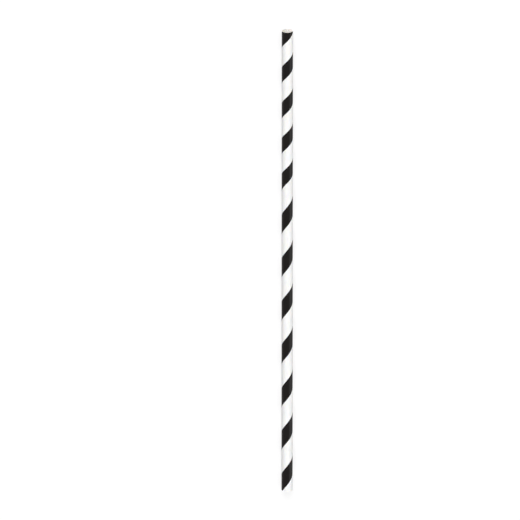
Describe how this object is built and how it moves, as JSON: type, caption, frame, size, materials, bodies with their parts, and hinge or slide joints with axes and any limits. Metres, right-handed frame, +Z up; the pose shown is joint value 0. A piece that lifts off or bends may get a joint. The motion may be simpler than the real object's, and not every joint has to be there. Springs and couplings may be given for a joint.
{
  "type": "paper drinking straw",
  "caption": "Straight paper drinking straw: a spiral-wound white paper tube, open at both ends, with a black stripe that winds round it from end to end.",
  "frame": {"origin": "on the ground plane, under the middle of the straw's length, as it lies", "axes": "+Y along the straw towards the mouth end, +Z up, +X to the right seen from the dip end"},
  "size_m": [0.006, 0.26, 0.006],
  "materials": {
    "white_paper": "smooth uncoated white paper, matte, with a faint warm tone inside the bore",
    "black_print": "black ink printed on the outer ply, with a slight satin sheen"
  },
  "bodies": {
    "root": {"paper_tube": "white_paper", "black_stripe": "black_print"}
  },
  "joints": []
}
